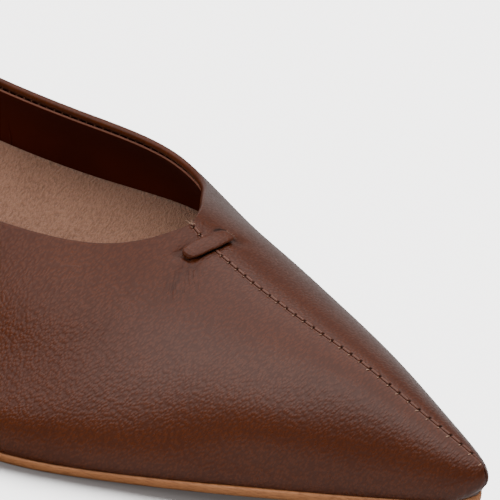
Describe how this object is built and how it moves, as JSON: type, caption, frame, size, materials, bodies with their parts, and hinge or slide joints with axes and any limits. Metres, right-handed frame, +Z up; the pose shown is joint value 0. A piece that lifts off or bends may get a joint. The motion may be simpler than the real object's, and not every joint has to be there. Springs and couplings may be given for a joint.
{
  "type": "ballet flat",
  "caption": "Left ballet flat with a pointed toe, low-cut collar, centre seam on the vamp, small keeper bar, thin leather sole and low heel.",
  "frame": {"origin": "middle of the shoe's box in plan, on the floor under the sole", "axes": "+X forward to the toe, +Y to the lateral side, +Z up"},
  "size_m": [0.2596, 0.0835, 0.0551],
  "materials": {
    "upper_leather": "smooth brown leather with a soft sheen",
    "insole_suede": "beige suede with a short nap",
    "sole_leather": "natural tan leather, edge softly rounded",
    "heel_stack": "dark brown matt top piece"
  },
  "bodies": {
    "root": {"upper": "upper_leather", "keeper_bar": "upper_leather", "insole": "insole_suede", "outsole": "sole_leather", "heel": "heel_stack"}
  },
  "joints": []
}
